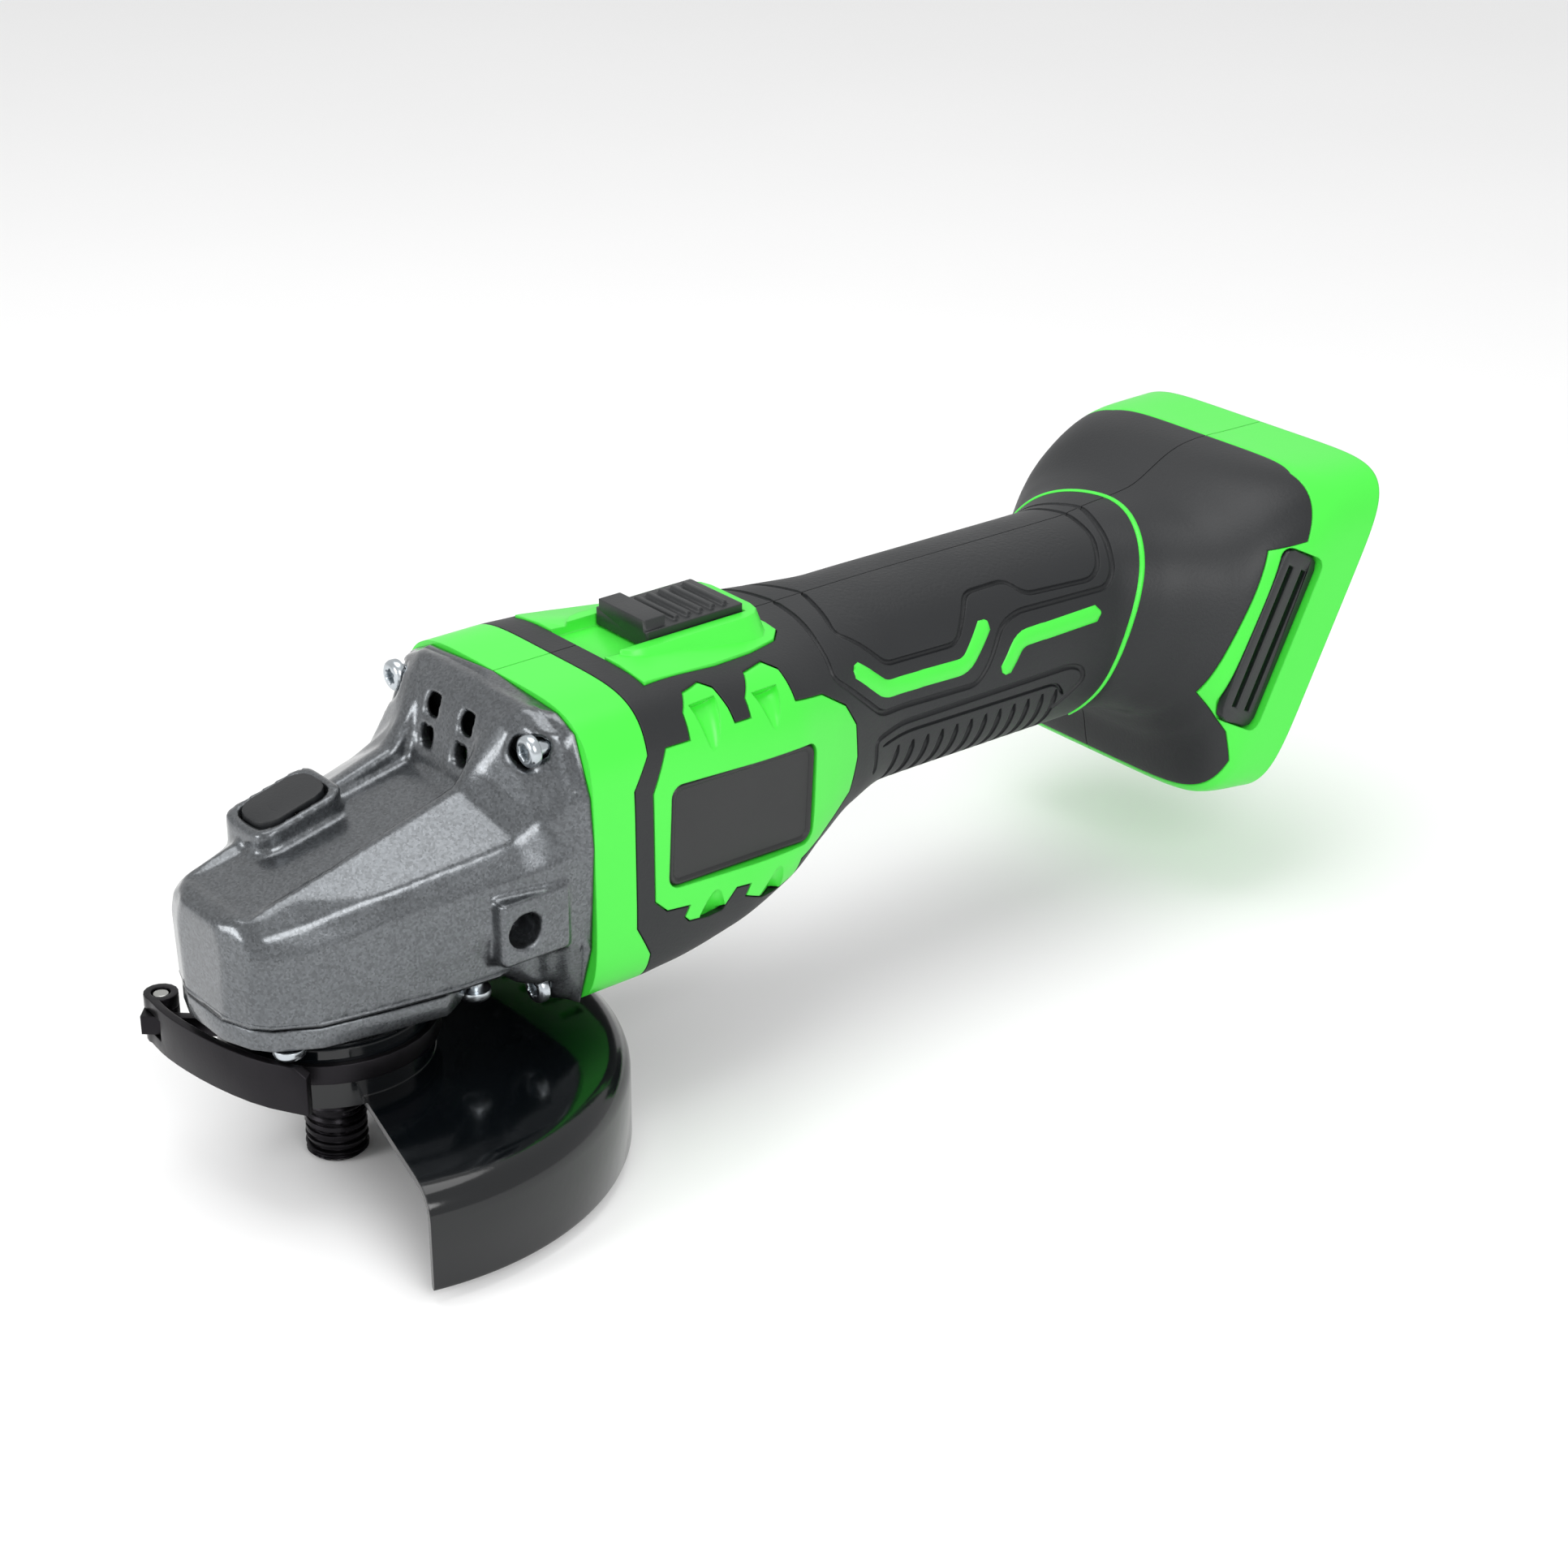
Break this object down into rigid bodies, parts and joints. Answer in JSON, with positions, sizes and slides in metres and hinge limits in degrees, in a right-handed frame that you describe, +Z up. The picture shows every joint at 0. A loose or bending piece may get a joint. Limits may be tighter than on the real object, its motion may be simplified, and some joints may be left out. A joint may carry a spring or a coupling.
{
  "type": "cordless angle grinder",
  "caption": "Cordless angle grinder shown bare, with a quick-clamp wheel guard, spindle lock, slide switch, ribbed rubber grip and a flared battery foot.",
  "frame": {"origin": "centre of the spindle's end face", "axes": "+Z up along the spindle into the gear housing, +X back along the motor to the battery foot, +Y the side the shell screws enter from"},
  "size_m": [0.3192, 0.1291, 0.1072],
  "materials": {
    "cast_housing": "die-cast magnesium in a metallic flake paint",
    "zinc_screw": "bright zinc plate",
    "black_steel": "black oxide, worn bright on edges",
    "bare_steel": "ground steel",
    "bronze": "sintered or stamped",
    "copper": "enamelled wire",
    "black_plastic": "moulded, satin",
    "green_plastic": "moulded nylon, fine spark texture",
    "black_rubber": "soft overmould, matt",
    "name_plate": "printed foil",
    "tray_metal": "pressed",
    "circuit_board": "solder mask",
    "guard_paint": "gloss black powder coat on pressed steel"
  },
  "bodies": {
    "housing": {"gear_housing": "cast_housing", "gearbox_cover": "cast_housing", "cover_screw_1": "zinc_screw", "cover_screw_2": "zinc_screw", "cover_screw_3": "zinc_screw", "cover_screw_4": "zinc_screw", "collar_screw_1": "zinc_screw", "collar_screw_2": "zinc_screw", "collar_screw_3": "zinc_screw", "collar_screw_4": "zinc_screw", "shell_screw_1": "zinc_screw", "shell_screw_2": "zinc_screw", "shell_screw_3": "zinc_screw", "shell_screw_4": "zinc_screw", "shell_screw_5": "zinc_screw", "spindle_bearing_outer": "bare_steel", "spindle_top_bush": "bronze", "front_bearing": "bare_steel", "rear_bearing": "bare_steel", "stator_core": "bare_steel", "stator_windings": "copper", "fan_baffle": "black_plastic", "shell_left": "green_plastic", "shell_right": "green_plastic", "grip_rubber_left": "black_rubber", "grip_rubber_right": "black_rubber", "grip_pad": "black_rubber", "name_plate_left": "name_plate", "name_plate_right": "name_plate", "foot_grille_left": "black_plastic", "foot_grille_right": "black_plastic", "switch_bezel": "green_plastic", "micro_switch": "black_plastic", "controller_tray": "tray_metal", "controller_board": "circuit_board", "capacitor": "tray_metal", "terminal_block": "black_plastic", "terminal_plus": "bronze", "terminal_minus": "bronze", "battery_rail_left": "tray_metal", "battery_rail_right": "tray_metal", "lock_spring": "bare_steel"},
    "spindle": {"spindle": "black_steel", "crown_wheel": "bare_steel", "spindle_bearing_inner": "bare_steel", "spindle_circlip": "black_steel"},
    "rotor": {"rotor_shaft": "bare_steel", "rotor_core": "bare_steel", "rotor_magnets": "bare_steel", "cooling_fan": "black_plastic", "pinion": "bare_steel"},
    "guard": {"guard": "guard_paint", "guard_clamp_band": "black_steel", "lever_pin": "bare_steel"},
    "lever": {"guard_lever": "black_steel"},
    "slider": {"switch_slider": "black_plastic", "switch_link": "black_plastic"},
    "lock": {"lock_button": "black_rubber", "lock_pin": "bare_steel"}
  },
  "joints": [
    {"name": "spindle_spin", "type": "hinge", "parent": "housing", "child": "spindle", "pos_m": [0, 0, 0], "axis": [0, 0, 1], "continuous": true},
    {"name": "rotor_spin", "type": "hinge", "parent": "housing", "child": "rotor", "pos_m": [0.05, 0, 0.0665], "axis": [1, 0, 0], "continuous": true},
    {"name": "guard_turn", "type": "hinge", "parent": "housing", "child": "guard", "pos_m": [0, 0, 0.03], "axis": [0, 0, 1], "range_deg": [-85, 75]},
    {"name": "guard_lever_open", "type": "hinge", "parent": "guard", "child": "lever", "pos_m": [-0.027, 0.0245, 0.0325], "axis": [0, 0, -1], "range_deg": [0, 100]},
    {"name": "switch_slide", "type": "slide", "parent": "housing", "child": "slider", "axis": [-1, 0, 0], "range_m": [0, 0.007]},
    {"name": "lock_press", "type": "slide", "parent": "housing", "child": "lock", "axis": [0, 0, -1], "range_m": [0, 0.004], "stiffness_N_per_m": 1000, "springref_m": -0.003, "deforming": ["lock_spring"]}
  ],
  "couplings": [
    {"joint": "rotor_spin", "follows": "spindle_spin", "ratio": 3.8}
  ]
}
